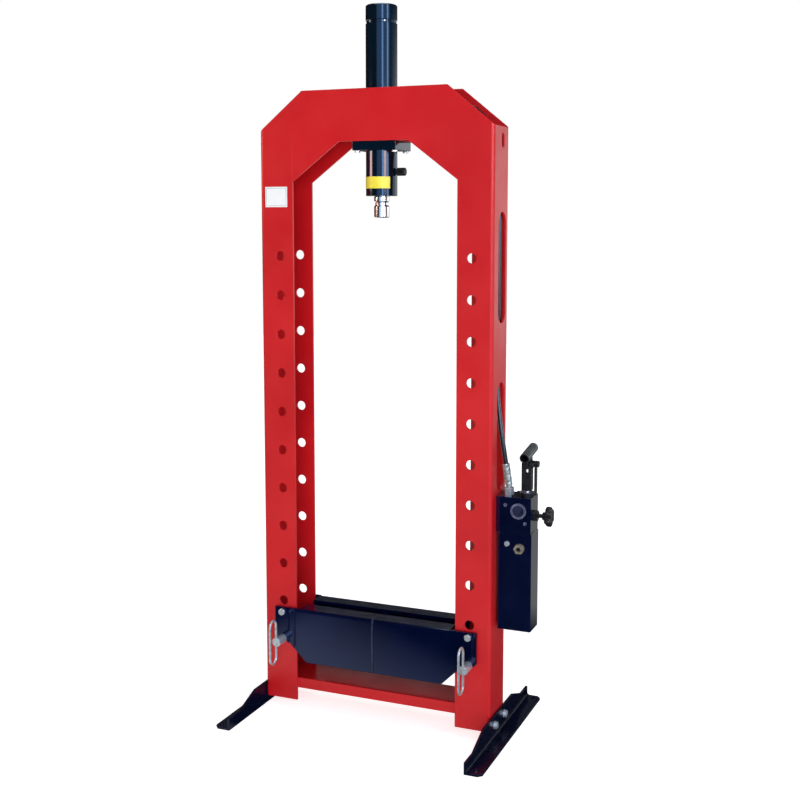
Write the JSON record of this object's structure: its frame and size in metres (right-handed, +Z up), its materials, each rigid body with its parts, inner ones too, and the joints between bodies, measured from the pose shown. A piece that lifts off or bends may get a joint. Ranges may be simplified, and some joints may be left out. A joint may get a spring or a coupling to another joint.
{
  "type": "hydraulic press",
  "caption": "Floor-standing hand-pumped hydraulic shop press: red channel frame, navy cylinder in the head, bed on pull-out pins and a lever pump with hose on the right upright.",
  "frame": {"origin": "on the floor, at the centre of the four anchor holes in the feet", "axes": "+Z up along the uprights, +X to the pump side, -Y to the operator"},
  "size_m": [0.802, 0.5, 1.801],
  "materials": {
    "red_paint": "semi-gloss powder coat",
    "navy_paint": "gloss enamel",
    "zinc_plate": "zinc plated",
    "machined_steel": "turned",
    "hard_chrome": "polished",
    "black_steel": "black satin paint",
    "black_plastic": "moulded",
    "hose_rubber": "smooth cover",
    "seal_rubber": "moulded",
    "yellow_film": "gloss film",
    "plate_white": "satin white"
  },
  "bodies": {
    "frame": {"left_upright": "red_paint", "right_upright": "red_paint", "head_front_plate": "red_paint", "head_rear_plate": "red_paint", "head_cross_bars": "red_paint", "base_crossbeam": "red_paint", "left_foot": "navy_paint", "right_foot": "navy_paint", "foot_bolts": "zinc_plate", "foot_washers": "zinc_plate", "foot_nuts": "zinc_plate", "data_plate": "plate_white", "mount_plate": "navy_paint", "mount_bolts": "zinc_plate", "cylinder_barrel": "navy_paint", "cylinder_cap": "navy_paint", "cap_screws": "zinc_plate", "rod_gland": "machined_steel", "rod_wiper": "seal_rubber", "barrel_band": "yellow_film", "bleed_knob": "black_plastic", "cylinder_port": "zinc_plate", "hydraulic_hose": "hose_rubber", "upper_ferrule": "zinc_plate", "lower_ferrule": "zinc_plate", "pump_port": "zinc_plate", "pump_tank": "navy_paint", "pump_head": "navy_paint", "pump_mount_bolts": "zinc_plate", "pump_tie_bolts": "black_steel", "plunger_gland": "black_steel", "valve_cap": "navy_paint", "head_plugs": "zinc_plate", "filler_plug": "zinc_plate", "level_screw": "zinc_plate", "fulcrum_bracket": "black_steel", "fulcrum_pin": "black_steel", "release_gland": "black_steel", "return_spring": "machined_steel"},
    "ram": {"piston": "machined_steel", "piston_seal": "seal_rubber", "ram_rod": "hard_chrome", "ram_nose": "hard_chrome"},
    "bed": {"bed_front_plate": "navy_paint", "bed_rear_plate": "navy_paint", "bed_centre_rib": "navy_paint", "bed_end_ribs": "navy_paint", "clamp_bolts": "zinc_plate"},
    "left_pin": {"left_bed_pin": "zinc_plate"},
    "right_pin": {"right_bed_pin": "zinc_plate"},
    "lever": {"pump_lever": "black_steel"},
    "plunger": {"pump_plunger": "hard_chrome", "plunger_clevis": "black_steel", "clevis_pin": "black_steel"},
    "release": {"release_stem": "black_steel", "release_knob": "black_plastic"}
  },
  "joints": [
    {"name": "ram_slide", "type": "slide", "parent": "frame", "child": "ram", "axis": [0, 0, -1], "range_m": [0, 0.15], "stiffness_N_per_m": 1500, "springref_m": -0.06, "deforming": ["return_spring"]},
    {"name": "bed_slide", "type": "slide", "parent": "frame", "child": "bed", "axis": [0, 0, 1], "range_m": [0, 0.8]},
    {"name": "left_pin_slide", "type": "slide", "parent": "frame", "child": "left_pin", "axis": [0, -1, 0], "range_m": [0, 0.15]},
    {"name": "right_pin_slide", "type": "slide", "parent": "frame", "child": "right_pin", "axis": [0, -1, 0], "range_m": [0, 0.15]},
    {"name": "lever_swing", "type": "hinge", "parent": "frame", "child": "lever", "pos_m": [0.381, 0.034, 0.685], "axis": [-1, 0, 0], "range_deg": [0, 28]},
    {"name": "plunger_slide", "type": "slide", "parent": "frame", "child": "plunger", "axis": [0, 0, 1], "range_m": [0, 0.0128]},
    {"name": "release_turn", "type": "hinge", "parent": "frame", "child": "release", "pos_m": [0.43, 0.008, 0.563], "axis": [1, 0, 0], "range_deg": [0, 360]}
  ],
  "couplings": [
    {"joint": "plunger_slide", "follows": "lever_swing", "m_per_rad": 0.02611}
  ]
}
